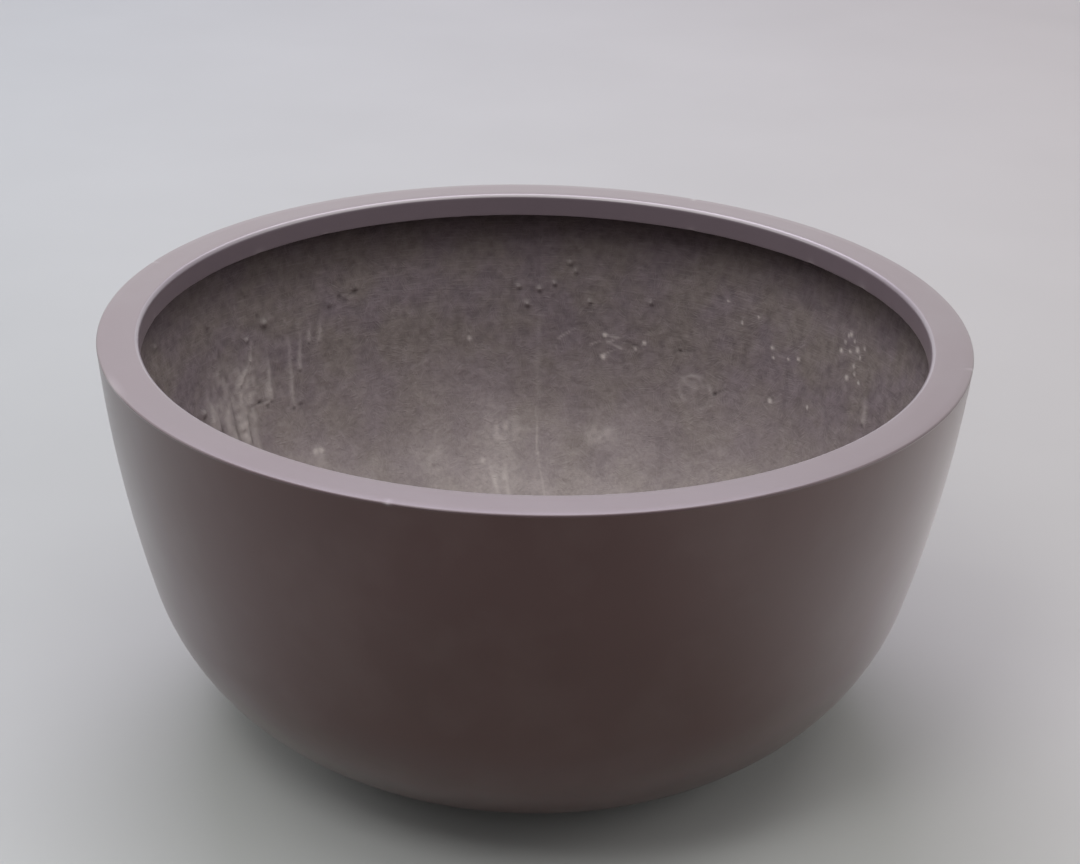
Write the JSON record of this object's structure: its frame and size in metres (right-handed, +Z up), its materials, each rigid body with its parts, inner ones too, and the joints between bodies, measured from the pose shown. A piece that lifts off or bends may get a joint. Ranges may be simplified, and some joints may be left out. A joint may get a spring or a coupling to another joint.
{
  "type": "fiberglass bowl planter",
  "caption": "Large round bowl planter in painted fibreglass, with a flat rim, a drop lip, a rough hand-laid inside and a drain hole closed by a pull-out rubber plug.",
  "frame": {"origin": "middle of the flat base, on its underside", "axes": "+Z up along the bowl's axis; the seam between the halves of the inner laminate lies in the Y-Z plane, at the front (-Y) and the back (+Y)"},
  "size_m": [0.9139, 0.914, 0.457],
  "materials": {
    "satin_paint": "satin",
    "raw_laminate": "matte",
    "bond_paste": "matte",
    "black_rubber": "matte"
  },
  "bodies": {
    "planter": {"bowl_shell": "satin_paint", "rim_ring": "satin_paint", "inner_laminate_left": "raw_laminate", "inner_laminate_right": "raw_laminate", "base_patch": "raw_laminate", "rim_bond_tape": "raw_laminate", "rim_bond_bead": "bond_paste"},
    "plug": {"drain_plug": "black_rubber"}
  },
  "joints": [
    {"name": "plug_lift", "type": "slide", "parent": "planter", "child": "plug", "axis": [0, 0, 1], "range_m": [0, 0.48]}
  ]
}
